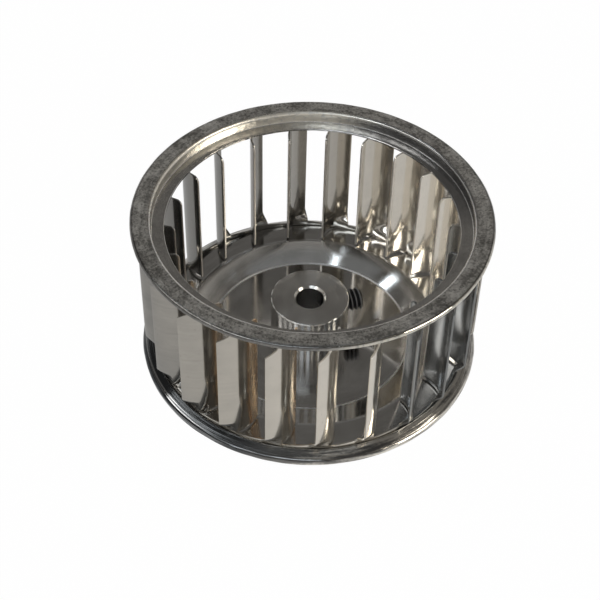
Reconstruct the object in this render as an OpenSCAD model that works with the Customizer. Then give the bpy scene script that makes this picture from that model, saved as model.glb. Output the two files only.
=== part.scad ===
// Blower wheel with lanced blades: a thin strip is slit, its slats are turned
// out of the band and the strip is rolled into a cylinder. A folded ring holds
// the top of the strip and a dished back plate the bottom. A turned hub with a
// set screw is staked in the plate. Axis on Z, underside on Z = 0, millimetres.

/* [Wheel] */
// Outside diameter over the folded edge of the inlet ring
wheel_d = 97.3; // [88:0.1:110]
// Height from the underside of the rim to the ring's flat face
wheel_h = 47.9; // [36:0.1:70]
// Gap left where the sheet parts are crimped on the strip
crimp_gap = 0.05; // [0.03:0.01:0.1]

/* [Blade strip] */
// Number of slats round the wheel
blade_n = 22; // [20:1:24]
// Thickness of the strip
strip_t = 0.5; // [0.4:0.05:0.7]
// Distance from the wheel's outside to the middle of the rolled strip
band_inset = 4.65; // [4.4:0.05:5]
// Share of a slat's width that stands outside the band
out_share = 0.37; // [0.3:0.01:0.42]
// Angle of the slat to the radius where it leaves the band
slat_turn = 42; // [36:1:50]
// Radius of the slat's curve
slat_curl = 9.4; // [8:0.1:14]
// Direction of the first slat's outer edge
blade_phase = 11.2; // [0:0.1:16]
// Height of the window's lower edge at its low end, beside the slat it came from
window_low = 3.9; // [3.7:0.1:5]
// Rise of that edge to the next slat
window_rise = 0.9; // [0.4:0.1:1.5]
// Gap between the tops of the slats and the ring's flange
slat_gap = 0.2; // [0.1:0.05:1]
// Height over which the outer part turns from the band to its full angle
flare_h = 3.6; // [2.5:0.1:6]
// Height over which the slat's upper corners are cut away
corner_h = 3.8; // [2.5:0.1:5]
// Width of the cut at the slat's upper inner corner
corner_w = 2.4; // [1:0.1:4]

/* [Inlet ring] */
// Thickness of the ring's sheet
ring_t = 0.6; // [0.5:0.05:0.8]
// Outside radius of the folded edge
fold_r = 0.85; // [0.85:0.05:1.2]
// Radius of the bend into the mouth
mouth_r = 1.0; // [0.8:0.1:1.4]
// Depth of the mouth below the flat face
mouth_h = 4.0; // [3:0.1:5.5]
// Width of the flange turned in at the foot of the mouth
flange_w = 4.0; // [2:0.1:6]

/* [Back plate] */
// Thickness of the plate's sheet
plate_t = 0.8; // [0.7:0.05:1]
// Largest radius of the rim, measured in from the wheel's outside
rim_inset = 0.9; // [0.4:0.05:1]
// Outside radius of the rolled rim
rim_roll = 1.2; // [1.1:0.05:1.4]
// Height of the lip that closes on the strip
rim_lip = 3.55; // [3.4:0.05:3.8]
// Height of the shelf beside the strip
shelf_z = 3.4; // [3:0.1:3.7]
// Radius of the ridge at the inner ends of the blades
ridge_r = 36.3; // [34:0.1:38]
// Height of that ridge
ridge_z = 4.0; // [3.7:0.1:4.2]
// Radius of the flat centre disc
disc_r = 28.4; // [24:0.1:31]
// Height of the centre disc's upper face
disc_z = 1.3; // [1.2:0.1:2.4]

/* [Hub and set screw] */
// Diameter of the shaft bore
bore_d = 7.94; // [5:0.01:10]
// Outside diameter of the hub
hub_d = 22.0; // [20:0.1:26]
// Height of the hub's top face
hub_top = 16.0; // [14:0.1:22]
// Diameter of the spigot through the plate
spigot_d = 15; // [13:0.1:17]
// Diameter of the staked collar under the plate
stake_d = 16.8; // [16:0.1:19]
// Diameter of the set screw over its thread
screw_d = 6.24; // [4:0.01:6.4]
// Length of the set screw
screw_l = 10.9; // [9:0.1:14]
// Depth of the set screw's axis below the hub's top face
screw_drop = 3.9; // [3.9:0.1:6]
// Direction of the set screw round the hub
screw_dir = 16; // [0:1:359]
// Gap between the screw's cylinder and its hole, at the radius
run_gap = 0.05; // [0.03:0.01:0.08]

/* [Hidden] */
$fn = 96;
// How far a cut runs past the surface it opens
over = 1;
wheel_r = wheel_d / 2;

// Rolled strip: its middle radius, faces and ends
band_r = wheel_r - band_inset;
band_out = band_r + strip_t / 2;
band_in = band_r - strip_t / 2;
strip_z0 = plate_t;
strip_z1 = wheel_h - ring_t;

// Slat, measured along its curve from the line where it leaves the band
cell = 360 / blade_n;
pitch = 2 * PI * band_r / blade_n;
slat_out = -out_share * pitch;
slat_in = (1 - out_share) * pitch;
outer_edge = full_point(0, slat_out);
crease_lead = -atan2(outer_edge[1], outer_edge[0]);

// Rows of the strip's surface, from the bottom of the band to its top
window_z0 = window_low + window_rise;
foot_z = wheel_h - mouth_h;
window_z1 = foot_z - slat_gap;
notch = 0.3;
rows_z = [
    strip_z0,
    window_low,
    window_z0 + flare_h * 0.33,
    window_z0 + flare_h * 0.66,
    window_z0 + flare_h,
    window_z1 - corner_h,
    window_z1 - corner_h * 0.7,
    window_z1 - corner_h * 0.42,
    window_z1,
    strip_z1
];
// Share of the full angle at each row, and where the outer and inner edges lie
rows_turn = [0, 0, 0.35, 0.8, 1, 1, 1, 0.85, 0, 0];
rows_outer = [1, 1, 1, 1, 1, 1, 0.62, 0.28, 0.24, 0.24];
rows_inner = [0, 0, 0, 0, 0, 0, 0, 0.2, 1, 1];
last_row = len(rows_z) - 1;
cut_row = last_row - 1;

// Number of facets along the slat's outer part, its inner part and the band
out_n = 3;
in_n = 5;
band_n = 6;

// Ring and plate where they meet the strip
wall_face = band_in - crimp_gap;
hook_face = band_out + 2 * crimp_gap;
fold_c = wheel_r - fold_r;
foot_bend = 0.3;
foot_c = wall_face - ring_t - foot_bend;
flange_r = wall_face - flange_w;
rim_r = wheel_r - rim_inset;
rim_c = rim_r - rim_roll;
lip_edge = 0.35;
lip_in_w = 0.3;
lip_in_z = 0.1;
lip_angle = 63;
lip_in_angle = 80;
shelf_bend = 0.6;
ridge_w = 0.5;
ridge_drop = 0.1;
step_w = 0.5;
step_z = 0.45;
step_back = 0.2;

// Hub and screw
hub_r = hub_d / 2;
bore_r = bore_d / 2;
hub_edge = 0.5;
bore_edge = 0.6;
press_gap = 0.02;
stake_t = 0.4;
stake_edge = 0.3;
plate_hole_r = spigot_d / 2 + press_gap;
disc_under = disc_z - plate_t;
stake_z = disc_under - stake_t;
screw_r = screw_d / 2;
screw_z = hub_top - screw_drop;
tip_gap = 0.1;
screw_tip = bore_r + tip_gap;
screw_end = screw_tip + screw_l;
screw_edge = 0.5;
socket_flats = screw_d / 2;
socket_h = 3.2;
cup_h = 0.9;
cup_r = screw_r * 0.45;
point_r = screw_r * 0.6;
point_h = screw_r * 0.4;

// Node to draw

// Points on an arc in the section plane
function arc(x, y, r, a0, a1, n = 6) =
    [for (i = [0 : n]) let (a = a0 + (a1 - a0) * i / n) [x + r * cos(a), y + r * sin(a)]];

function radial(a) = [cos(a), sin(a)];
function along(a) = [-sin(a), cos(a)];

// Middle of the strip at length s from the crease, at share w of its full angle
function crease(i) = blade_phase + crease_lead + i * cell;
function degrees_at(s) = s / band_r * 180 / PI;
function heading(s) = slat_turn - s / slat_curl * 180 / PI;
function slat_in_by(s) = slat_curl * (sin(slat_turn) - sin(heading(s)));
function slat_side(s) = slat_curl * (cos(heading(s)) - cos(slat_turn));
function full_point(a, s) = radial(a) * (band_r - slat_in_by(s)) + along(a) * slat_side(s);
function full_dir(a, s) = along(a) * sin(heading(s)) - radial(a) * cos(heading(s));
function flat_point(a, s) = radial(a + degrees_at(s)) * band_r;
function flat_dir(a, s) = along(a + degrees_at(s));
function mid_point(a, s, w) = full_point(a, s) * w + flat_point(a, s) * (1 - w);
function mid_dir(a, s, w) =
    let (d = full_dir(a, s) * w + flat_dir(a, s) * (1 - w)) d / norm(d);

// One of the two faces of the sheet: side 0 is the outer face, side 1 the inner
function skin(p, d, z, side) =
    let (h = (side == 0 ? 1 : -1) * strip_t / 2) [p[0] + h * d[1], p[1] - h * d[0], z];

function outer_s(row, j) = slat_out * rows_outer[row] * (1 - j / out_n);
function inner_s(row, k) = (slat_in - corner_w * rows_inner[row]) * k / in_n;

// Heights along the slanted lower cut and the level upper cut
function outer_z(row, j) =
    row == 1 ? window_low + window_rise * (1 - j / out_n) : rows_z[row];
function inner_z(row, k) =
    row == 1 ? window_low + notch + (window_rise - notch) * k / in_n
    : row == cut_row ? window_z1 - notch : rows_z[row];
function band_z(row, m) =
    row == 1 ? window_low + window_rise * pow(m / band_n, 1.3) : rows_z[row];

function outer_vertex(i, row, j, side) =
    let (s = outer_s(row, j), w = rows_turn[row], a = crease(i))
    skin(mid_point(a, s, w), mid_dir(a, s, w), outer_z(row, j), side);
function inner_vertex(i, row, k, side) =
    let (s = inner_s(row, k), a = crease(i))
    skin(full_point(a, s), full_dir(a, s), inner_z(row, k), side);
function band_vertex(i, row, m, side) =
    let (
        a0 = crease(i),
        a1 = crease(i + 1) + degrees_at(outer_s(row, 0)),
        a = a0 + (a1 - a0) * m / band_n
    )
    skin(radial(a) * band_r, along(a), band_z(row, m), side);

// The vertices of one slat and its piece of band, then their numbers
band_rows = [0, 1, cut_row, last_row];
outer_count = (last_row + 1) * (out_n + 1) * 2;
inner_count = cut_row * in_n * 2;
band_count = len(band_rows) * (band_n - 1) * 2;
cell_count = outer_count + inner_count + band_count;

function cell_vertices(i) = concat(
    [for (row = [0 : last_row], j = [0 : out_n], side = [0, 1]) outer_vertex(i, row, j, side)],
    [for (row = [1 : cut_row], k = [1 : in_n], side = [0, 1]) inner_vertex(i, row, k, side)],
    [for (row = band_rows, m = [1 : band_n - 1], side = [0, 1]) band_vertex(i, row, m, side)]
);
function outer_no(i, row, j, side) =
    (i % blade_n) * cell_count + (row * (out_n + 1) + j) * 2 + side;
function inner_no(i, row, k, side) =
    k == 0 ? outer_no(i, row, out_n, side)
    : (i % blade_n) * cell_count + outer_count + ((row - 1) * in_n + k - 1) * 2 + side;
function band_no(i, q, m, side) =
    m == 0 ? outer_no(i, band_rows[q], out_n, side)
    : m == band_n ? outer_no(i + 1, band_rows[q], 0, side)
    : (i % blade_n) * cell_count + outer_count + inner_count
        + (q * (band_n - 1) + m - 1) * 2 + side;

// Faces: a patch of sheet has two skins, and its free edges are closed by walls.
// A patch is [lower left, upper left, upper right, lower right], each [side 0, side 1].
function two(a, b, c, d) = [[a, b, c], [a, c, d]];
function skins(p) = concat(
    two(p[0][0], p[1][0], p[2][0], p[3][0]),
    two(p[3][1], p[2][1], p[1][1], p[0][1])
);
function wall(a, b) = two(a[0], b[0], b[1], a[1]);

function outer_patch(i, row, j) = [
    for (c = [[row, j], [row + 1, j], [row + 1, j + 1], [row, j + 1]])
        [for (side = [0, 1]) outer_no(i, c[0], c[1], side)]
];
function inner_patch(i, row, k) = [
    for (c = [[row, k], [row + 1, k], [row + 1, k + 1], [row, k + 1]])
        [for (side = [0, 1]) inner_no(i, c[0], c[1], side)]
];
function band_patch(i, q, m) = [
    for (c = [[q, m], [q + 1, m], [q + 1, m + 1], [q, m + 1]])
        [for (side = [0, 1]) band_no(i, c[0], c[1], side)]
];

function outer_faces(i) = [
    for (row = [0 : last_row - 1], j = [0 : out_n - 1])
        let (p = outer_patch(i, row, j))
        each concat(
            skins(p),
            row == 0 ? wall(p[0], p[3]) : [],
            row == last_row - 1 ? wall(p[2], p[1]) : [],
            j == 0 && row > 0 && row < cut_row ? wall(p[1], p[0]) : []
        )
];
function inner_faces(i) = [
    for (row = [1 : cut_row - 1], k = [0 : in_n - 1])
        let (p = inner_patch(i, row, k))
        each concat(
            skins(p),
            row == 1 ? wall(p[0], p[3]) : [],
            row == cut_row - 1 ? wall(p[2], p[1]) : [],
            k == in_n - 1 ? wall(p[3], p[2]) : []
        )
];
function band_faces(i) = [
    for (q = [0, 2], m = [0 : band_n - 1])
        let (p = band_patch(i, q, m))
        each concat(skins(p), wall(p[0], p[3]), wall(p[2], p[1]))
];

// The strip: one closed sheet, its band uncut at both ends
module blade_strip() {
    color([0.62, 0.6, 0.56])
        polyhedron(
            points = [for (i = [0 : blade_n - 1]) each cell_vertices(i)],
            faces = [
                for (i = [0 : blade_n - 1])
                    each concat(outer_faces(i), inner_faces(i), band_faces(i))
            ]
        );
}

// Section of the ring: a flange turned in at the foot of the mouth, the mouth's
// wall inside the strip, the flat face, the folded edge and a lower leg that
// ends outside the strip
function ring_section() = concat(
    [[flange_r, foot_z], [flange_r, foot_z + ring_t]],
    arc(foot_c, foot_z + ring_t + foot_bend, foot_bend, -90, 0, 3),
    arc(wall_face - ring_t + mouth_r, wheel_h - mouth_r, mouth_r, 180, 90),
    arc(fold_c, wheel_h - fold_r, fold_r, 90, -90, 10),
    [[hook_face, wheel_h - 2 * fold_r], [hook_face, wheel_h - 2 * fold_r + ring_t]],
    arc(fold_c, wheel_h - fold_r, fold_r - ring_t, -90, 90),
    [[wall_face, wheel_h - ring_t]],
    arc(foot_c, foot_z + ring_t + foot_bend, ring_t + foot_bend, 0, -90, 4)
);

module inlet_ring() {
    color([0.45, 0.45, 0.44])
        rotate_extrude()
            polygon(ring_section());
}

// Section of the plate: centre disc, slope, ridge, shelf, groove for the strip
// and the rolled rim whose lip closes on the strip's outer face
function plate_section() = concat(
    [
        [plate_hole_r, disc_under],
        [plate_hole_r, disc_z],
        [disc_r, disc_z],
        [disc_r + step_w, disc_z + step_z],
        [ridge_r - ridge_w, ridge_z - ridge_drop],
        [ridge_r, ridge_z],
        [ridge_r + ridge_w, ridge_z - ridge_drop]
    ],
    arc(wall_face - shelf_bend, shelf_z - shelf_bend, shelf_bend, 90, 0),
    [[wall_face, plate_t]],
    arc(rim_c, rim_roll, rim_roll - plate_t, -90, lip_in_angle),
    [
        [hook_face + lip_in_w, rim_lip - plate_t - lip_in_z],
        [hook_face, rim_lip - plate_t],
        [hook_face, rim_lip - lip_edge]
    ],
    arc(hook_face + lip_edge, rim_lip - lip_edge, lip_edge, 180, lip_angle, 4),
    arc(rim_c, rim_roll, rim_roll, lip_angle, -90, 10),
    [
        [wall_face - plate_t, 0],
        [wall_face - plate_t, shelf_z - plate_t],
        [ridge_r, ridge_z - plate_t],
        [disc_r + step_w + step_back, disc_under + step_z],
        [disc_r + step_back, disc_under]
    ]
);

module back_plate() {
    color([0.5, 0.5, 0.48])
        rotate_extrude()
            polygon(plate_section());
}

// Section of the hub: body, spigot through the plate and staked collar, bored
function hub_section() = [
    [bore_r + bore_edge, hub_top],
    [hub_r - hub_edge, hub_top],
    [hub_r, hub_top - hub_edge],
    [hub_r, disc_z],
    [spigot_d / 2, disc_z],
    [spigot_d / 2, disc_under],
    [stake_d / 2, disc_under],
    [stake_d / 2 - stake_edge, stake_z],
    [bore_r + bore_edge / 2, stake_z],
    [bore_r, stake_z + bore_edge / 2],
    [bore_r, hub_top - bore_edge]
];

// Places a shape on the screw's axis, its Z pointing out of the hub
module on_screw_axis() {
    translate([0, 0, screw_z])
        rotate([0, 0, screw_dir])
            rotate([0, 90, 0])
                children();
}

module hub() {
    color([0.66, 0.64, 0.6])
        difference() {
            rotate_extrude()
                polygon(hub_section());
            on_screw_axis()
                cylinder(h = hub_r + over, r = screw_r + run_gap);
        }
}

// Section of the screw, from its cup point to its outer end
function screw_section() = [
    [0, screw_tip + cup_h],
    [cup_r, screw_tip],
    [point_r, screw_tip],
    [screw_r, screw_tip + point_h],
    [screw_r, screw_end - screw_edge],
    [screw_r - screw_edge, screw_end],
    [0, screw_end]
];

module set_screw() {
    color([0.08, 0.08, 0.08])
        difference() {
            on_screw_axis()
                rotate_extrude()
                    polygon(screw_section());
            on_screw_axis()
                translate([0, 0, screw_end - socket_h])
                    linear_extrude(socket_h + over)
                        polygon([
                            for (a = [30 : 60 : 330])
                                radial(a) * socket_flats / 2 / cos(30)
                        ]);
        }
}

inlet_ring();
blade_strip();
back_plate();
hub();
set_screw();
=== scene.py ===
import math

import bpy
import bmesh
from mathutils import Matrix, Vector, noise


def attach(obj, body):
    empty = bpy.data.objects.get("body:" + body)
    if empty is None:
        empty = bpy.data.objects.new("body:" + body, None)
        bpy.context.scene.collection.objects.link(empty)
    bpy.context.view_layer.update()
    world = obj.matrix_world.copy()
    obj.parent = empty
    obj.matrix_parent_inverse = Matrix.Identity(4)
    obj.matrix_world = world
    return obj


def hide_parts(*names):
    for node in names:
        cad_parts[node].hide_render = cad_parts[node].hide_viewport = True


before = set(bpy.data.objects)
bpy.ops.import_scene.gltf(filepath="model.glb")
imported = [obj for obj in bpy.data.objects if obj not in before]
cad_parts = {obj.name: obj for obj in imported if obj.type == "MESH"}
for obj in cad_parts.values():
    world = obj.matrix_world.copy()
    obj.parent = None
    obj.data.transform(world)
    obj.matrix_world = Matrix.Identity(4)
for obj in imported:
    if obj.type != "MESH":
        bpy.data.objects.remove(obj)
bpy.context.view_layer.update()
mm = 0.001  # pieces and camera are given in mm and degrees, floor and lamps in metres
print("blower wheel: frame loaded")


class Wire:
    # A shader socket that can be written in sums; each sum adds its Math node
    def __init__(self, tree, socket):
        self.tree = tree
        self.socket = socket

    def maths(self, operation, *terms):
        added = self.tree.nodes.new("ShaderNodeMath")
        added.operation = operation
        for place, term in zip(added.inputs, terms):
            if isinstance(term, Wire):
                self.tree.links.new(term.socket, place)
            else:
                place.default_value = term
        return Wire(self.tree, added.outputs[0])

    def __add__(self, other):
        return self.maths("ADD", self, other)

    def __radd__(self, other):
        return self.maths("ADD", other, self)

    def __sub__(self, other):
        return self.maths("SUBTRACT", self, other)

    def __rsub__(self, other):
        return self.maths("SUBTRACT", other, self)

    def __mul__(self, other):
        return self.maths("MULTIPLY", self, other)

    def __rmul__(self, other):
        return self.maths("MULTIPLY", other, self)

    def __truediv__(self, other):
        return self.maths("DIVIDE", self, other)

    def __rtruediv__(self, other):
        return self.maths("DIVIDE", other, self)

    def __pow__(self, other):
        return self.maths("POWER", self, other)

    def __rpow__(self, other):
        return self.maths("POWER", other, self)


class Finish:
    # A material and its nodes; node() adds any node that isn't plain maths
    def __init__(self, name):
        self.material = bpy.data.materials.new(name)
        self.material.use_nodes = True
        self.tree = self.material.node_tree
        self.tree.nodes.clear()

    def node(self, kind, settings, sockets, output=0):
        made = self.tree.nodes.new(kind)
        for name, value in settings.items():
            if name == "stops":
                while len(made.color_ramp.elements) < len(value):
                    made.color_ramp.elements.new(1.0)
                for element, (place, colour) in zip(made.color_ramp.elements, value):
                    element.position = place
                    element.color = (*colour, 1.0)
            else:
                setattr(made, name, value)
        for name, value in sockets.items():
            place = made.inputs[name]
            if isinstance(value, Wire):
                self.tree.links.new(value.socket, place)
            elif place.type == "RGBA":
                place.default_value = (*value, 1.0)
            else:
                place.default_value = value
        return Wire(self.tree, made.outputs[output]) if made.outputs else None

    def place(self):
        # Where a point lies on the piece: x, y, distance from the axis and height, in mm
        here = self.node("ShaderNodeTexCoord", {}, {}, "Object")
        x, y, z = (
            self.node("ShaderNodeSeparateXYZ", {}, {"Vector": here}, axis) / mm
            for axis in ("X", "Y", "Z")
        )
        return x, y, (x * x + y * y) ** 0.5, z

    def towards(self, degrees):
        # Cosine of the angle round the axis between a point and a direction
        x, y, reach, _ = self.place()
        a = math.radians(degrees)
        return (x * math.cos(a) + y * math.sin(a)) / reach

    def blotches(self, size, detail=3.0, rough=0.5, shift=0.0):
        # Even noise whose features are about size mm across
        here = self.node("ShaderNodeTexCoord", {}, {}, "Object")
        moved = self.node(
            "ShaderNodeMapping",
            {},
            {"Vector": here, "Location": (shift, shift * 0.7, shift * 0.3)},
        )
        return self.node(
            "ShaderNodeTexNoise",
            {"noise_dimensions": "3D"},
            {"Vector": moved, "Scale": 1 / (size * mm), "Detail": detail, "Roughness": rough},
        )

    def streaks(self, length, width, height, detail=2.0, rough=0.5, shift=0.0):
        # Noise drawn out round the axis: length in degrees, width and height in mm
        x, y, reach, z = self.place()
        turn = math.degrees(1) / length
        spot = self.node(
            "ShaderNodeCombineXYZ",
            {},
            {"X": x / reach * turn + shift, "Y": y / reach * turn, "Z": reach / width},
        )
        sockets = {"Vector": spot, "W": z / height, "Scale": 1.0}
        sockets.update({"Detail": detail, "Roughness": rough})
        return self.node("ShaderNodeTexNoise", {"noise_dimensions": "4D"}, sockets)

    def between(self, value, low, high, start=0.0, end=1.0):
        # Smooth change from start to end while the value goes from low to high
        return self.node(
            "ShaderNodeMapRange",
            {"interpolation_type": "SMOOTHSTEP"},
            {"Value": value, "From Min": low, "From Max": high, "To Min": start, "To Max": end},
        )

    def shades(self, value, stops):
        return self.node("ShaderNodeValToRGB", {"stops": stops}, {"Fac": value})

    def blend(self, amount, first, second):
        # Mix of two colours; sockets 0, 6 and 7 are its amount and colours
        sockets = {0: amount, 6: first, 7: second}
        return self.node("ShaderNodeMix", {"data_type": "RGBA"}, sockets, 2)

    def relief(self, height, depth, normal=None):
        # Bump from a height of 0 to 1 that stands for depth mm
        sockets = {"Height": height, "Distance": depth * mm, "Strength": 1.0}
        if normal is not None:
            sockets["Normal"] = normal
        return self.node("ShaderNodeBump", {}, sockets)

    def done(self, **sockets):
        named = {name.replace("_", " "): value for name, value in sockets.items()}
        shader = self.node("ShaderNodeBsdfPrincipled", {}, named)
        self.node("ShaderNodeOutputMaterial", {}, {"Surface": shader})
        return self.material


# Meshes


def placed(name, data):
    made = bpy.data.objects.new(name, data)
    bpy.context.scene.collection.objects.link(made)
    return made


def smoothed(mesh, creaseDegrees):
    mesh.shade_smooth()
    mesh.set_sharp_from_angle(angle=math.radians(creaseDegrees))


def settled(piece, creaseDegrees):
    # Makes the piece's modifiers part of its mesh
    graph = bpy.context.evaluated_depsgraph_get()
    mesh = bpy.data.meshes.new_from_object(piece.evaluated_get(graph))
    piece.modifiers.clear()
    piece.data = mesh
    smoothed(mesh, creaseDegrees)
    return piece


def pieceFrom(name, points, faces, creaseDegrees=35):
    mesh = bpy.data.meshes.new(name)
    mesh.from_pydata([tuple(p) for p in points], [], faces)
    mesh.validate()
    facing = bmesh.new()
    facing.from_mesh(mesh)
    bmesh.ops.recalc_face_normals(facing, faces=facing.faces)
    facing.to_mesh(mesh)
    facing.free()
    smoothed(mesh, creaseDegrees)
    return placed(name, mesh)


def arc(x, y, radius, start, end, steps):
    angles = [math.radians(start + (end - start) * i / steps) for i in range(steps + 1)]
    return [(x + radius * math.cos(a), y + radius * math.sin(a)) for a in angles]


def soften(corner, before, after, size, steps=3):
    # Points of a small round where a section turns a corner
    c, b, a = Vector(corner), Vector(before), Vector(after)
    first = c + (b - c).normalized() * size
    last = c + (a - c).normalized() * size
    out = []
    for i in range(steps + 1):
        t = i / steps
        out.append(tuple(first * (1 - t) ** 2 + c * 2 * t * (1 - t) + last * t * t))
    return out


def turned(name, section, steps, waves=None):
    # Turns a closed section (radius, height in mm) about the axis. The waves
    # function gives the small unevenness of the sheet at a place.
    points, faces = [], []
    n = len(section)
    for i in range(steps):
        a = 2 * math.pi * i / steps
        for r, z in section:
            out, up = waves(a, r, z) if waves else (0.0, 0.0)
            r += out
            points.append(Vector((math.cos(a) * r, math.sin(a) * r, z + up)) * mm)
    for i in range(steps):
        j = (i + 1) % steps
        for k in range(n):
            m = (k + 1) % n
            faces.append((i * n + k, j * n + k, j * n + m, i * n + m))
    return pieceFrom(name, points, faces)


# Inlet ring: a folded edge outside, a bend into the mouth and a flange at its foot
ring = {
    "outsideRadius": 48.65,
    "height": 47.9,
    "sheet": 0.6,
    "foldRadius": 0.85,
    "wallRadius": 43.7,
    "mouthBend": 1.0,
    "mouthDepth": 4.0,
    "skirtInnerRadius": 44.35,
    "flangeRadius": 39.7,
    "footBend": 0.3,
    "edge": 0.1,
    "faceWaves": 0.05,
    "sideWaves": 0.04,
    "waveShift": 0.8,  # turns the waves inwards, so that the ring keeps its size
    "facets": 288,
}


def ringSection(p):
    h, t = p["height"], p["sheet"]
    wall = p["wallRadius"]
    foldCentre = p["outsideRadius"] - p["foldRadius"]
    foot = h - p["mouthDepth"]
    bend, flange, edge = p["footBend"], p["flangeRadius"], p["edge"]
    turnAt = (wall - t - bend, foot + t + bend)
    return (
        [(flange, foot + edge), (flange, foot + t - edge), (flange + edge, foot + t)]
        + arc(*turnAt, bend, -90, 0, 4)
        + arc(wall - t + p["mouthBend"], h - p["mouthBend"], p["mouthBend"], 180, 90, 8)
        + [(wall + 2, h), (foldCentre - 1, h)]
        + arc(foldCentre, h - p["foldRadius"], p["foldRadius"], 90, -90, 14)
        + [
            (p["skirtInnerRadius"], h - 2 * p["foldRadius"]),
            (p["skirtInnerRadius"], h - 2 * p["foldRadius"] + t),
        ]
        + arc(foldCentre, h - p["foldRadius"], p["foldRadius"] - t, -90, 90, 6)
        + [(wall, h - t)]
        + arc(*turnAt, t + bend, 0, -90, 5)
        + [(flange + edge, foot)]
    )


def ringWaves(a, r, z):
    shift = ring["waveShift"]
    broad = Vector((math.cos(a) * 9, math.sin(a) * 9, r * 0.12))
    fine = Vector((math.cos(a) * 26, math.sin(a) * 26, z * 0.2))
    out = (noise.noise(fine) - shift) * ring["sideWaves"]
    return out, (noise.noise(broad) - shift) * ring["faceWaves"]


ringPiece = turned("rolledRing", ringSection(ring), ring["facets"], ringWaves)
print("ring turned")


# Blade strip: slats cut free inside the band and turned, on a rolled band
strip = {
    "slats": 22,
    "sheet": 0.5,
    "bandRadius": 44.0,
    "outShare": 0.37,
    "slatTurn": 42.0,
    "slatCurl": 9.4,
    "firstSlat": 11.2,
    "leadToCrease": 4.85,
    "bottom": 0.8,
    "top": 47.3,
    "windowLow": 3.9,
    "windowRise": 0.9,
    "windowTop": 43.7,
    "flareHeight": 3.6,
    "cornerHeight": 3.8,
    "cornerSlope": 1.26,
    "cornerStart": 0.02,
    "neckShare": 0.24,
    "turnBackFrom": 0.55,
    "innerCut": 2.3,
    "innerCutWidth": 2.4,
    "notch": 0.3,
    "edgeRound": 0.07,
}
flareRows = 7
straightRows = 5
cornerRows = 10
outerColumns = 7
innerColumns = 12
bandColumns = 10


def smooth(t):
    t = min(max(t, 0.0), 1.0)
    return t * t * (3 - 2 * t)


def direction(degrees):
    a = math.radians(degrees)
    return Vector((math.cos(a), math.sin(a))), Vector((-math.sin(a), math.cos(a)))


def slatPoint(creaseAngle, s, share):
    # A point of the sheet at length s from the crease; share says how far the slat
    # has turned out of the band there
    p = strip
    out, along = direction(creaseAngle)
    start = math.radians(p["slatTurn"])
    here = start - s / p["slatCurl"]
    inBy = p["slatCurl"] * (math.sin(start) - math.sin(here))
    side = p["slatCurl"] * (math.cos(here) - math.cos(start))
    full = out * (p["bandRadius"] - inBy) + along * side
    flat = direction(creaseAngle + math.degrees(s / p["bandRadius"]))[0] * p["bandRadius"]
    return full * share + flat * (1 - share)


def stripRows(p):
    # Height, share of the turn, share of the outer part, cut of the inner part
    low = p["windowLow"] + p["windowRise"]
    top = p["windowTop"]
    rows = [(p["bottom"], 0, 1, 0), (p["windowLow"], 0, 1, 0)]
    for i in range(1, flareRows + 1):
        t = i / flareRows
        rows.append((low + p["flareHeight"] * t, smooth(t ** 0.9), 1, 0))
    start = rows[-1][0]
    straight = top - p["cornerHeight"]
    for i in range(1, straightRows + 1):
        rows.append((start + (straight - start) * i / straightRows, 1, 1, 0))
    for i in range(1, cornerRows + 1):
        t = i / cornerRows
        z = straight + p["cornerHeight"] * t
        outer = max(1 - p["cornerSlope"] * max(t - p["cornerStart"], 0), p["neckShare"])
        turn = 1 - smooth((t - p["turnBackFrom"]) / (1 - p["turnBackFrom"]))
        inner = (z - (top - p["innerCut"])) / p["innerCut"]
        cut = 1 - math.sqrt(max(0.0, 1 - max(inner, 0.0) ** 2)) if inner > 0 else 0
        rows.append((z, turn, outer, cut))
    rows.append((p["top"], 0, p["neckShare"], 1))
    return rows


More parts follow.
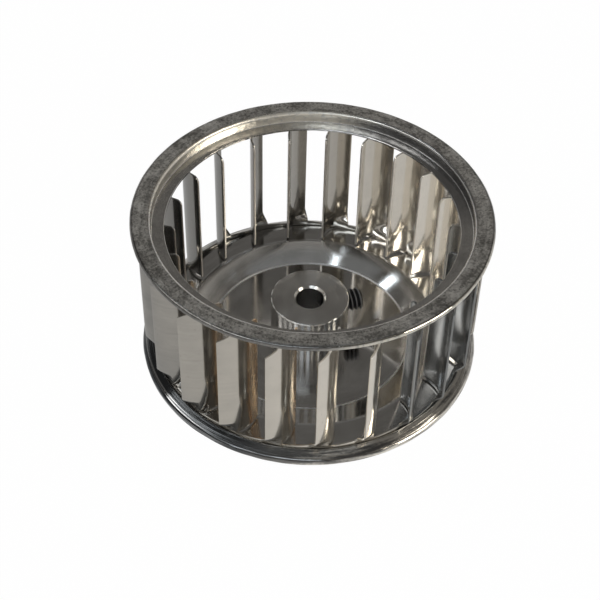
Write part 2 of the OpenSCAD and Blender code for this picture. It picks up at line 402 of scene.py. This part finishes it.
def buildStrip(p):
    pitch = 2 * math.pi * p["bandRadius"] / p["slats"]
    outEdge, inEdge = -p["outShare"] * pitch, (1 - p["outShare"]) * pitch
    rows = stripRows(p)
    last, cut = len(rows) - 1, len(rows) - 2
    sheet = bmesh.new()
    grid = {}

    def add(key, xy, z):
        grid[key] = sheet.verts.new((xy[0] * mm, xy[1] * mm, z * mm))

    def creaseAt(i):
        return p["firstSlat"] + p["leadToCrease"] + i * 360 / p["slats"]

    for i in range(p["slats"]):
        a = creaseAt(i)
        for row, (z, turn, outer, inner) in enumerate(rows):
            for j in range(outerColumns + 1):
                t = j / outerColumns
                s = outEdge * outer * (1 - t)
                up = p["windowLow"] + p["windowRise"] * (1 - t) if row == 1 else z
                add(("out", i, row, j), slatPoint(a, s, turn), up)
            if 1 <= row <= cut:
                width = inEdge - p["innerCutWidth"] * inner
                for k in range(1, innerColumns + 1):
                    t = k / innerColumns
                    up = z
                    if row == 1:
                        up = p["windowLow"] + p["notch"] + (p["windowRise"] - p["notch"]) * t
                    elif row == cut:
                        up = p["windowTop"] - p["notch"]
                    add(("in", i, row, k), slatPoint(a, width * t, 1), up)
            if row in (0, 1, cut, last):
                a1 = creaseAt(i + 1) + math.degrees(outEdge * outer / p["bandRadius"])
                for m in range(1, bandColumns):
                    t = m / bandColumns
                    up = p["windowLow"] + p["windowRise"] * t ** 1.3 if row == 1 else z
                    out = direction(a + (a1 - a) * t)[0]
                    add(("band", i, row, m), out * p["bandRadius"], up)

    def at(i, kind, row, column):
        i = i % p["slats"]
        if kind != "out" and column == 0:
            return grid["out", i, row, outerColumns]
        if kind == "band" and column == bandColumns:
            return grid["out", (i + 1) % p["slats"], row, 0]
        return grid[kind, i, row, column]

    def patch(i, kind, low, high, column):
        corners = [(low, column), (high, column), (high, column + 1), (low, column + 1)]
        sheet.faces.new([at(i, kind, row, c) for row, c in corners])

    for i in range(p["slats"]):
        for row in range(last):
            for j in range(outerColumns):
                patch(i, "out", row, row + 1, j)
        for row in range(1, cut):
            for k in range(innerColumns):
                patch(i, "in", row, row + 1, k)
        for low, high in ((0, 1), (cut, last)):
            for m in range(bandColumns):
                patch(i, "band", low, high, m)
    bmesh.ops.recalc_face_normals(sheet, faces=sheet.faces)
    mesh = bpy.data.meshes.new("lancedStrip")
    sheet.to_mesh(mesh)
    sheet.free()
    piece = placed("lancedStrip", mesh)
    thick = piece.modifiers.new("sheet", "SOLIDIFY")
    thick.thickness = p["sheet"] * mm
    thick.offset = 0
    thick.use_even_offset = False
    soft = piece.modifiers.new("edges", "BEVEL")
    soft.width = p["edgeRound"] * mm
    soft.segments = 2
    soft.limit_method = "ANGLE"
    soft.angle_limit = math.radians(60)
    return settled(piece, 40)


stripPiece = buildStrip(strip)
print("strip lanced:", len(stripPiece.data.polygons), "faces")


# Back plate: centre disc, slope, ridge, shelf, groove for the strip, rolled rim
plate = {
    "sheet": 0.8,
    "rimRadius": 47.75,
    "rimRoll": 1.2,
    "lipTop": 3.55,
    "grooveInner": 43.7,
    "grooveOuter": 44.35,
    "lipEdge": 0.35,
    "lipFrom": 63,
    "shelf": 3.4,
    "shelfBend": 0.6,
    "ridgeRadius": 36.3,
    "ridge": 4.0,
    "discRadius": 28.4,
    "disc": 1.3,
    "holeRadius": 7.52,
    "slopeWaves": 0.0108,
    "rimWaves": 0.108,
    "facets": 288,
}


def plateSection(p):
    t, roll = p["sheet"], p["rimRoll"]
    c = p["rimRadius"] - roll
    hook, lip, edge = p["grooveOuter"], p["lipTop"], p["lipEdge"]
    under = p["disc"] - t
    ridge, disc = p["ridgeRadius"], p["discRadius"]
    groove, bend = p["grooveInner"], p["shelfBend"]
    start, end = Vector((disc, p["disc"])), Vector((ridge - 0.3, p["ridge"] - 0.08))
    top = [tuple(start.lerp(end, share)) for share in (0.05, 0.1, 0.35, 0.65, 0.94, 0.99)]
    return (
        [(p["holeRadius"], under), (p["holeRadius"], p["disc"]), (14, p["disc"])]
        + [(21, p["disc"]), (disc - 0.4, p["disc"])]
        + soften(start, (disc - 1, p["disc"]), end, 0.25)
        + top
        + soften((ridge, p["ridge"]), top[-1], (ridge + 3, p["ridge"] - 0.3), 0.5, 4)
        + arc(groove - bend, p["shelf"] - bend, bend, 90, 0, 5)
        + [(groove, t)]
        + arc(c, roll, roll - t, -90, 80, 8)
        + [(hook + 0.3, lip - t - 0.1), (hook, lip - t), (hook, lip - edge)]
        + arc(hook + edge, lip - edge, edge, 180, p["lipFrom"], 6)
        + arc(c, roll, roll, p["lipFrom"], -90, 14)
        + [
            (groove - t, 0),
            (groove - t, p["shelf"] - t),
            (ridge, p["ridge"] - t),
            (disc + 0.7, under + 0.45),
            (disc + 0.2, under),
        ]
    )


def plateWaves(a, r, z):
    # The slope waves up and down, the rim in and out, and the underside is flat
    broad = Vector((math.cos(a) * 5, math.sin(a) * 5, r * 0.05))
    fine = Vector((math.cos(a) * 11, math.sin(a) * 11, z * 0.6 + 5))
    rim = smooth((r - 44) / 2)
    slope = smooth((r - 20) / 10) * (1 - rim) * smooth(z / 0.5)
    out = noise.noise(fine) * plate["rimWaves"] * rim
    return out, noise.noise(broad) * plate["slopeWaves"] * slope


platePiece = turned("dishedPlate", plateSection(plate), plate["facets"], plateWaves)
print("plate turned")


# Hub: turned, staked through the plate, cross-drilled for the set screw
hub = {
    "radius": 11.0,
    "top": 16.0,
    "bore": 3.97,
    "boreEdge": 0.6,
    "edge": 0.35,
    "edgeRound": 0.15,
    "seat": 1.3,
    "spigot": 7.5,
    "stakeRadius": 8.4,
    "stakeTop": 0.5,
    "stakeBottom": 0.1,
    "stakeEdge": 0.3,
    "screwHole": 3.2,
    "facets": 240,
}


def buildHub(p):
    side, top, bore = p["radius"], p["top"], p["bore"]
    edge, bend, cut = p["edge"], p["edgeRound"], p["stakeEdge"]
    section = [(bore + p["boreEdge"], top), (side - 2, top)]
    section += soften((side - edge / 2, top), (0, top), (side, top - edge), bend)
    section += soften((side, top - edge / 2), (side - edge, top), (side, 0), bend)
    section += [
        (side, p["seat"]),
        (p["spigot"], p["seat"]),
        (p["spigot"], p["stakeTop"]),
        (p["stakeRadius"], p["stakeTop"]),
        (p["stakeRadius"] - cut, p["stakeBottom"]),
        (bore + cut, p["stakeBottom"]),
        (bore, p["stakeBottom"] + cut),
        (bore, top - p["boreEdge"]),
    ]
    piece = turned("turnedHub", section, p["facets"])
    along = Vector((*direction(screw["direction"])[0], 0))
    tool = bmesh.new()
    reach = (side + 1) * mm
    radius = p["screwHole"] * mm
    bmesh.ops.create_cone(
        tool, cap_ends=True, segments=72, radius1=radius, radius2=radius, depth=reach
    )
    turn = along.to_track_quat("Z", "Y").to_matrix().to_4x4()
    place = Matrix.Translation(along * reach / 2 + Vector((0, 0, screw["height"] * mm)))
    bmesh.ops.transform(tool, matrix=place @ turn, verts=tool.verts)
    mesh = bpy.data.meshes.new("screwHole")
    tool.to_mesh(mesh)
    tool.free()
    drill = placed("screwHole", mesh)
    drilled = piece.modifiers.new("screwHole", "BOOLEAN")
    drilled.operation = "DIFFERENCE"
    drilled.solver = "EXACT"
    drilled.object = drill
    settled(piece, 35)
    bpy.data.objects.remove(drill)
    return piece


# Set screw: coarse thread, cup point inside, six-sided socket outside
screw = {
    "radius": 3.12,
    "length": 10.9,
    "tip": 4.07,
    "pitch": 1.3,
    "threadDepth": 0.6,
    "crestSlope": 3.2,
    "rootShare": 0.25,
    "tipLength": 1.2,
    "tipDepth": 1.3,
    "endLength": 0.5,
    "endDepth": 0.6,
    "cupDepth": 0.8,
    "cupRadius": 0.15,
    "height": 12.1,
    "direction": 16.0,
    "socketRadius": 1.8,
    "socketEdge": 0.2,
    "socketDepth": 3.2,
    "socketPoint": 0.7,
}
screwAround = 72
screwSteps = 150


def buildScrew(p):
    points, faces = [], []
    corner = math.pi / 3

    def ringAt(x, radiusAt):
        made = []
        for j in range(screwAround):
            a = 2 * math.pi * j / screwAround
            r = radiusAt(a)
            made.append(len(points))
            points.append((p["tip"] + x, r * math.cos(a), r * math.sin(a)))
        return made

    def threaded(x):
        # The thread, with the tip and the outer end turned down
        tip = p["tipDepth"] * (1 - min(x / p["tipLength"], 1))
        end = p["endDepth"] * (1 - min((p["length"] - x) / p["endLength"], 1))

        def radiusAt(a):
            phase = (x / p["pitch"] - a / (2 * math.pi)) % 1.0
            crest = (0.5 - abs(phase - 0.5)) * p["crestSlope"] - p["rootShare"]
            root = p["threadDepth"] * (1 - min(max(crest, 0.0), 1.0))
            return p["radius"] - max(root, tip, end)

        return ringAt(x, radiusAt)

    def hexagon(x, radius):
        across = radius * math.cos(corner / 2)
        return ringAt(x, lambda a: across / math.cos(a % corner - corner / 2))

    outer, edge = p["length"], p["socketEdge"]
    floor = outer - p["socketDepth"]
    rings = [ringAt(p["cupDepth"], lambda a: p["cupRadius"])]
    rings += [threaded(outer * i / screwSteps) for i in range(screwSteps + 1)]
    rings += [
        hexagon(outer, p["socketRadius"] + edge),
        hexagon(outer - edge, p["socketRadius"]),
        hexagon(floor, p["socketRadius"]),
        hexagon(floor - p["socketPoint"], edge),
    ]
    for low, high in zip(rings, rings[1:]):
        for j in range(screwAround):
            m = (j + 1) % screwAround
            faces.append((low[j], low[m], high[m], high[j]))
    faces.append(tuple(reversed(rings[0])))
    faces.append(tuple(rings[-1]))
    turn = Matrix.Rotation(math.radians(p["direction"]), 3, "Z")
    place = [(turn @ Vector(q) + Vector((0, 0, p["height"]))) * mm for q in points]
    return pieceFrom("threadedScrew", place, faces, 30)


screwPiece = buildScrew(screw)
hubPiece = buildHub(hub)
print("hub and screw turned")


# Finishes
tarnish = {
    "dark": (0.35, 0.34, 0.322),
    "middle": (0.69, 0.672, 0.64),
    "light": (1.0, 0.98, 0.94),
    "sheen": (0.97, 0.93, 0.84),
    "mouth": (0.74, 0.728, 0.71),
    "edge": (0.1, 0.1, 0.1),
    "shade": (0.2, 0.208, 0.22),
    "scuff": (1.0, 0.99, 0.97),
    "pit": (0.05, 0.048, 0.045),
    "roughness": 0.4,
    "gloss": 0.15,
}


def tarnishedSheet():
    f = Finish("tarnishedSheet")
    _, _, reach, z = f.place()
    outside, wall, top = ring["outsideRadius"], ring["wallRadius"], ring["height"]
    foot = top - ring["mouthDepth"]
    drawn = f.streaks(14, 1.3, 1.0, 3.0, 0.6)
    clouds = f.blotches(5.0, 4.0, 0.65)
    grain = f.blotches(0.8, 3.0, 0.65, 3.0)
    tone = drawn * 0.3 + clouds * 0.35 + grain * 0.35
    colour = f.shades(
        tone, [(0.43, tarnish["dark"]), (0.5, tarnish["middle"]), (0.58, tarnish["light"])]
    )
    pits = f.between(f.blotches(0.5, 1.0, 0.4, 7.0), 0.64, 0.7)
    colour = f.blend(pits * 0.6, colour, tarnish["pit"])
    inside = 1 - f.between(reach, wall - 0.2, wall + 0.5)
    colour = f.blend(inside * 0.7, colour, tarnish["mouth"])
    # Painted shade on the mouth at the back right, dimming a reflection there
    shade = inside * f.between(f.towards(42), 0.7, 0.9)
    colour = f.blend(shade * 0.6, colour, tarnish["shade"])
    # Bright scuffs on the top face, most of them on the right
    scuffs = f.between(f.blotches(0.8, 3.0, 0.7, 13.0), 0.6, 0.7)
    scuffs = scuffs * f.between(z, top - 0.3, top - 0.1)
    scuffs = scuffs * f.between(f.towards(15), -0.6, 0.8, 0.2, 0.8)
    colour = f.blend(scuffs, colour, tarnish["scuff"])
    # Painted dark reflection on the outer fold, all round
    edge = f.between(reach, outside - 1.05, outside - 0.45)
    colour = f.blend(edge * 0.8, colour, tarnish["edge"])
    # Painted highlight standing in for reflections: the skirt on the right and the mouth's wall
    # at the back left are made bright
    skirtSheen = f.between(reach, outside - 0.75, outside - 0.35)
    skirtSheen = skirtSheen * f.between(f.towards(-45), 0.72, 0.9)
    litWall = 1 - f.between(reach, wall - 0.2, wall + 0.6)
    litWall = litWall * f.between(z, foot + 0.6, foot + 0.8)
    litWall = litWall * f.between(f.towards(128), 0.4, 0.75)
    sheenBreakup = f.between(f.blotches(1.6, 3.0, 0.6, 11.0), 0.34, 0.5)
    paintedSheen = (skirtSheen * 0.7 + litWall) * (0.45 + sheenBreakup * 0.55)
    colour = f.blend(paintedSheen, colour, tarnish["sheen"])
    # The flat face and the skirt are scuffed dull, and the mouth is still glossy
    dull = tarnish["roughness"] + (clouds - 0.5) * 0.3 + pits * 0.15 - paintedSheen * 0.22
    glossy = tarnish["gloss"] + litWall * 0.18 + (clouds - 0.5) * 0.12
    rough = dull * (1 - inside) + glossy * inside - edge * 0.22
    dents = f.relief(f.blotches(2.4, 2.0, 0.5, 1.0), 0.04)
    dents = f.relief(f.blotches(1.3, 2.0, 0.5, 2.0) * litWall, 0.1, dents)
    pitted = f.relief(grain - pits * 0.8, 0.01, dents)
    return f.done(Base_Color=colour, Metallic=1.0, Roughness=rough, Normal=pitted)


satin = {
    # dull, middle and bright are stops of painted shade and light round the wheel
    "dull": (0.29, 0.285, 0.275),
    "middle": (0.6, 0.57, 0.52),
    "bright": (0.91, 0.868, 0.797),
    "gold": (1.0, 0.7, 0.42),
    "edge": (0.96, 0.9, 0.83),
    "shaded": (0.17, 0.2, 0.23),
    "speck": (0.08, 0.075, 0.07),
    "roughness": 0.13,
    "brushed": 0.4,
    "metallic": 0.9,
}


def satinStrip():
    f = Finish("satinStrip")
    reach = f.place()[2]
    band = strip["bandRadius"]
    bands = f.streaks(60, 20.0, 0.7, 2.0, 0.6)
    clouds = f.blotches(6.0, 3.0, 0.5, 2.0)
    lines = f.streaks(120, 40.0, 0.16, 2.0, 0.6, 4.0)
    # Painted light and shade: darker on the left, lighter on the right and at the back right,
    # and a painted bluish shade at the front right
    shaded = f.between(f.towards(-32), 0.84, 0.95)
    side = f.towards(-25) * 0.5 + 0.5 - shaded * 0.8
    side = side + f.between(f.towards(48), 0.75, 0.93) * 0.2
    side = side + (bands - 0.5) * 0.1 + (lines - 0.5) * 0.16 + (clouds - 0.5) * 0.2
    colour = f.shades(
        side, [(0.05, satin["dull"]), (0.5, satin["middle"]), (0.92, satin["bright"])]
    )
    colour = f.blend(shaded * 0.5, colour, satin["shaded"])
    # Painted warm reflection: the inner parts of the slats at the front are made golden
    inner = 1 - f.between(reach, band - 5.5, band - 2.5)
    warmGlow = inner * f.between(f.towards(-108), 0.925, 0.975)
    mottle = f.between(f.blotches(1.1, 3.0, 0.6, 5.0), 0.42, 0.56)
    colour = f.blend(warmGlow * (0.6 + mottle * 0.4), colour, satin["gold"])
    # Painted highlight along the lanced inner edges
    lip = 1 - f.between(reach, band - 7.1, band - 6.8)
    colour = f.blend(lip * 0.85, colour, satin["edge"])
    specks = f.between(f.blotches(0.6, 1.0, 0.4, 9.0), 0.72, 0.78)
    colour = f.blend(specks * 0.35, colour, satin["speck"])
    rough = satin["roughness"] + (clouds - 0.5) * 0.16 + warmGlow * mottle * 0.12
    rough = rough + lip * 0.3 + shaded * 0.1
    crinkled = f.relief(mottle * warmGlow, 0.02, f.relief(f.blotches(5.0, 1.0, 0.4, 6.0), 0.02))
    surface = f.relief(bands, 0.0012, crinkled)
    return f.done(
        Base_Color=colour,
        Metallic=satin["metallic"],
        Roughness=rough,
        Anisotropic=satin["brushed"],
        Normal=surface,
    )


pressed = {
    "dark": (0.54, 0.532, 0.516),
    "light": (0.72, 0.714, 0.702),
    "rimDark": (0.24, 0.237, 0.232),
    "rimLight": (0.9, 0.865, 0.8),
    "rimShade": (0.07, 0.078, 0.085),
    "corner": (0.95, 0.96, 0.97),
    "speck": (0.08, 0.08, 0.08),
    "roughness": 0.1,
    "spun": 0.8,
}


def pressedPlate():
    f = Finish("pressedPlate")
    reach = f.place()[2]
    disc, ridge, hook = plate["discRadius"], plate["ridgeRadius"], plate["grooveOuter"]
    drawn = f.streaks(40, 1.6, 3.0, 2.0, 0.5)
    clouds = f.blotches(9.0, 3.0, 0.5, 4.0)
    tone = drawn * 0.4 + clouds * 0.6
    colour = f.shades(tone, [(0.35, pressed["dark"]), (0.65, pressed["light"])])
    grain = f.blotches(0.8, 3.0, 0.6, 6.0)
    rim = f.between(reach, hook - 0.15, hook + 0.45)
    rimTone = f.streaks(14, 0.9, 0.7, 3.0, 0.55, 3.0) * 0.8 + grain * 0.2
    # Painted light on the rim: darker at the front left, lighter at the right
    rimTone = rimTone - f.between(f.towards(212), 0.5, 0.85) * 0.24
    rimTone = rimTone + f.between(f.towards(-40), 0.7, 0.95) * 0.1
    rimColour = f.shades(rimTone, [(0.47, pressed["rimDark"]), (0.66, pressed["rimLight"])])
    # Painted shade on the rim at the front left, with thin painted highlight lines along its
    # roll
    shade = f.between(f.towards(218), 0.72, 0.92)
    bright = f.between(f.streaks(45, 0.5, 0.3, 1.0, 0.4, 8.0), 0.55, 0.63) * shade
    rimColour = f.blend(shade * 0.92, rimColour, pressed["rimShade"])
    rimColour = f.blend(bright * 0.45, rimColour, pressed["corner"])
    colour = f.blend(rim, colour, rimColour)
    # Painted highlights on the bends beside the disc and on the ridge
    bend = f.between(reach, disc - 0.1, disc + 0.1)
    bend = bend * (1 - f.between(reach, disc + 0.4, disc + 0.6))
    crest = f.between(reach, ridge - 0.4, ridge) * 0.4
    crest = crest * (1 - f.between(reach, ridge + 0.3, ridge + 0.7))
    colour = f.blend(bend + crest, colour, pressed["corner"])
    specks = f.between(f.blotches(0.6, 1.0, 0.4, 2.0), 0.72, 0.78)
    colour = f.blend(specks * 0.4, colour, pressed["speck"])
    rough = pressed["roughness"] + (clouds - 0.5) * 0.08 + rim * grain * 0.08
    rough = rough + bend * 0.35 + crest * 0.3
    dents = f.relief(f.blotches(6.0, 2.0, 0.5, 8.0), 0.008)
    rolled = f.relief(f.streaks(50, 0.6, 0.5, 2.0, 0.5, 5.0) * rim, 0.11, dents)
    lines = f.relief(drawn * 0.5 + grain * 0.2, 0.002, rolled)
    return f.done(
        Base_Color=colour,
        Metallic=1.0,
        Roughness=rough,
        Anisotropic=pressed["spun"],
        Anisotropic_Rotation=0.25,
        Normal=lines,
    )


aluminium = {
    "dark": (0.62, 0.61, 0.59),
    "light": (0.8, 0.79, 0.765),
    "edge": (0.7, 0.68, 0.64),
    "side": (0.3, 0.3, 0.3),
    "bore": (0.62, 0.61, 0.6),
    "roughness": 0.2,
    "turned": 0.9,
}


def turnedHub():
    f = Finish("turnedHub")
    _, _, reach, z = f.place()
    bore, outside, top = hub["bore"], hub["radius"], hub["top"]
    rings = f.streaks(90, 0.22, 0.3, 2.0, 0.5)
    clouds = f.blotches(6.0, 3.0, 0.5, 5.0)
    colour = f.shades(
        rings * 0.4 + clouds * 0.6, [(0.38, aluminium["dark"]), (0.64, aluminium["light"])]
    )
    chamfer = 1 - f.between(reach, bore + 0.33, bore + 0.63)
    chamfer = chamfer * f.between(z, top - 1, top - 0.5)
    colour = f.blend(chamfer * 0.7, colour, aluminium["edge"])
    # Painted shade: the hub's outer side is made darker
    side = f.between(reach, outside - 0.15, outside - 0.05)
    side = side * (1 - f.between(z, top - 0.6, top - 0.4))
    colour = f.blend(side * 0.55, colour, aluminium["side"])
    inside = 1 - f.between(reach, bore + 0.01, bore + 0.07)
    inside = inside * (1 - f.between(z, top - 0.8, top - 0.4))
    colour = f.blend(inside, colour, aluminium["bore"])
    rough = aluminium["roughness"] + (rings - 0.5) * 0.12 + (clouds - 0.5) * 0.1
    surface = f.relief(rings, 0.002)
    return f.done(
        Base_Color=colour,
        Metallic=1.0,
        Roughness=rough,
        Anisotropic=aluminium["turned"],
        Anisotropic_Rotation=0.25,
        Normal=surface,
    )


blackening = {
    "dark": (0.004, 0.004, 0.005),
    "light": (0.02, 0.02, 0.022),
    "crest": (0.2, 0.2, 0.205),
    "roughness": 0.22,
    "metallic": 0.3,
}


def blackScrew():
    f = Finish("blackScrew")
    x, y, _, z = f.place()
    clouds = f.blotches(1.2, 3.0, 0.6, 1.0)
    colour = f.shades(clouds, [(0.35, blackening["dark"]), (0.7, blackening["light"])])
    # The crests of the thread are lighter grey
    a = math.radians(screw["direction"])
    across = y * math.cos(a) - x * math.sin(a)
    up = z - screw["height"]
    away = (across * across + up * up) ** 0.5
    crest = f.between(away, screw["radius"] - 0.17, screw["radius"] - 0.02)
    colour = f.blend(crest * 0.8, colour, blackening["crest"])
    rough = blackening["roughness"] + (clouds - 0.5) * 0.15 + crest * 0.1
    return f.done(
        Base_Color=colour,
        Metallic=blackening["metallic"],
        Roughness=rough,
        Normal=f.relief(clouds, 0.006),
    )


def dress(piece, material):
    piece.data.materials.clear()
    piece.data.materials.append(material)


dressed = [
    (ringPiece, "inlet_ring", "ring_sheet", tarnishedSheet(), "wheel"),
    (stripPiece, "blade_strip", "blade_sheet", satinStrip(), "wheel"),
    (platePiece, "back_plate", "plate_sheet", pressedPlate(), "wheel"),
    (hubPiece, "hub", "hub_metal", turnedHub(), "wheel"),
    (screwPiece, "set_screw", "black_steel", blackScrew(), "set_screw"),
]
for piece, node, slot, material, body in dressed:
    dress(piece, material)
    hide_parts(node)
    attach(piece, body)
print("finishes made")


# Stage: a pale floor that turns up at its edge, soft lamps and a grey room
stage = {
    "floorColour": (0.95, 0.945, 0.935),
    "floorRoughness": 0.5,
    "floorRadius": 2.6,
    "flatShare": 0.7,
    "wallHeight": 1.1,
    "lowered": 0.00015,
    "shown": 0.99,
    "mirrored": 0.34,
    "shadedTo": 44.5,  # mm from the wheel's axis
    "litFrom": 47.5,
    "room": (0.115, 0.11, 0.103),
}


def buildFloor(p):
    steps, turnSteps = 96, 8
    flat = p["flatShare"]
    outline = [(0.02, 0.0), (p["floorRadius"] * flat, 0.0)]
    for i in range(1, turnSteps + 1):
        a = math.pi / 2 * i / turnSteps
        out = flat + (1 - flat) * math.sin(a)
        outline.append((p["floorRadius"] * out, p["wallHeight"] * (1 - math.cos(a))))
    points, faces = [Vector((0, 0, 0))], []
    for r, z in outline:
        for i in range(steps):
            a = 2 * math.pi * i / steps
            points.append(Vector((r * math.cos(a), r * math.sin(a), z)))
    for i in range(steps):
        faces.append((0, 1 + i, 1 + (i + 1) % steps))
    for k in range(len(outline) - 1):
        for i in range(steps):
            j = (i + 1) % steps
            a, b = 1 + k * steps, 1 + (k + 1) * steps
            faces.append((a + i, b + i, b + j, a + j))
    floor = pieceFrom("floor", [q - Vector((0, 0, p["lowered"])) for q in points], faces)
    f = Finish("paleFloor")
    reach = f.place()[2]
    seen = f.node("ShaderNodeLightPath", {}, {}, "Is Camera Ray")
    shine = f.node("ShaderNodeLightPath", {}, {}, "Is Glossy Ray")
    through = f.node("ShaderNodeLightPath", {}, {}, "Is Transmission Ray")
    # The camera sees the floor white; metal mirrors it dimmer, and dark under the wheel
    clear = f.between(reach, p["shadedTo"], p["litFrom"])
    share = seen * p["shown"] + (shine + through) * clear * p["mirrored"]
    plain = f.node(
        "ShaderNodeBsdfDiffuse",
        {},
        {"Color": p["floorColour"], "Roughness": p["floorRoughness"]},
    )
    white = f.node("ShaderNodeEmission", {}, {"Color": (1, 1, 1), "Strength": 1.0})
    mixed = f.node("ShaderNodeMixShader", {}, {0: share, 1: plain, 2: white})
    f.node("ShaderNodeOutputMaterial", {}, {"Surface": mixed})
    dress(floor, f.material)


def addLamp(name, place, size, watts, colour):
    data = bpy.data.lights.new(name, "AREA")
    data.shape = "RECTANGLE"
    data.size, data.size_y = size
    data.energy = watts
    data.color = colour
    lamp = placed(name, data)
    lamp.location = place
    lamp.rotation_euler = (-Vector(place)).to_track_quat("-Z", "Y").to_euler()


lamps = [
    ("ceiling", (0.0, 0.0, 1.3), (0.9, 0.9), 0.3, (0.86, 0.94, 1.0)),
    ("overheadSpot", (-0.12, 0.165, 0.979), (0.035, 0.035), 0.032, (0.84, 0.93, 1.0)),
    ("backPanel", (-0.345, 0.348, 0.871), (0.1, 0.045), 0.075, (0.84, 0.93, 1.0)),
    ("warmSide", (0.85, -0.3, 0.55), (0.45, 0.3), 3.4, (1.0, 0.93, 0.8)),
    ("leftWindow", (-0.754, -0.275, 0.892), (1.12, 0.21), 2.5, (1.0, 0.98, 0.95)),
    ("frontWindow", (-0.3, -0.744, 0.892), (0.87, 0.21), 1.5, (0.86, 0.93, 1.0)),
]


def buildStage():
    buildFloor(stage)
    for lamp in lamps:
        addLamp(*lamp)
    world = bpy.data.worlds.new("room")
    world.use_nodes = True
    back = world.node_tree.nodes["Background"]
    back.inputs["Color"].default_value = (*stage["room"], 1)
    scene = bpy.context.scene
    scene.world = world
    scene.view_settings.view_transform = "Standard"


camera = {
    "distance": 406.0,
    "elevation": 46.98,
    "lift": 0.5,
    "yaw": 0.4086,
    "pitch": 1.3974,
    "roll": -1.9105,
    "lens": 83.97,
    "sensor": 36.0,
    "nearest": 0.01,
    "farthest": 20.0,
}


def buildCamera(p):
    e = math.radians(p["elevation"])
    place = Vector((0, -p["distance"] * math.cos(e), p["distance"] * math.sin(e) + p["lift"]))
    ahead = Vector((0, math.cos(e), -math.sin(e)))
    right = Vector((1, 0, 0))
    up = right.cross(ahead)
    spin = Matrix.Rotation(math.radians(p["yaw"]), 3, up)
    ahead, right = spin @ ahead, spin @ right
    spin = Matrix.Rotation(math.radians(p["pitch"]), 3, right)
    ahead, up = spin @ ahead, spin @ up
    spin = Matrix.Rotation(math.radians(p["roll"]), 3, ahead)
    right, up = spin @ right, spin @ up
    data = bpy.data.cameras.new("photoCamera")
    data.lens = p["lens"]
    data.sensor_width = p["sensor"]
    data.clip_start = p["nearest"]
    data.clip_end = p["farthest"]
    seer = placed("photoCamera", data)
    turn = Matrix((right, up, -ahead)).transposed().to_4x4()
    seer.matrix_world = Matrix.Translation(place * mm) @ turn
    bpy.context.scene.camera = seer


buildStage()
buildCamera(camera)
print("stage and camera set")
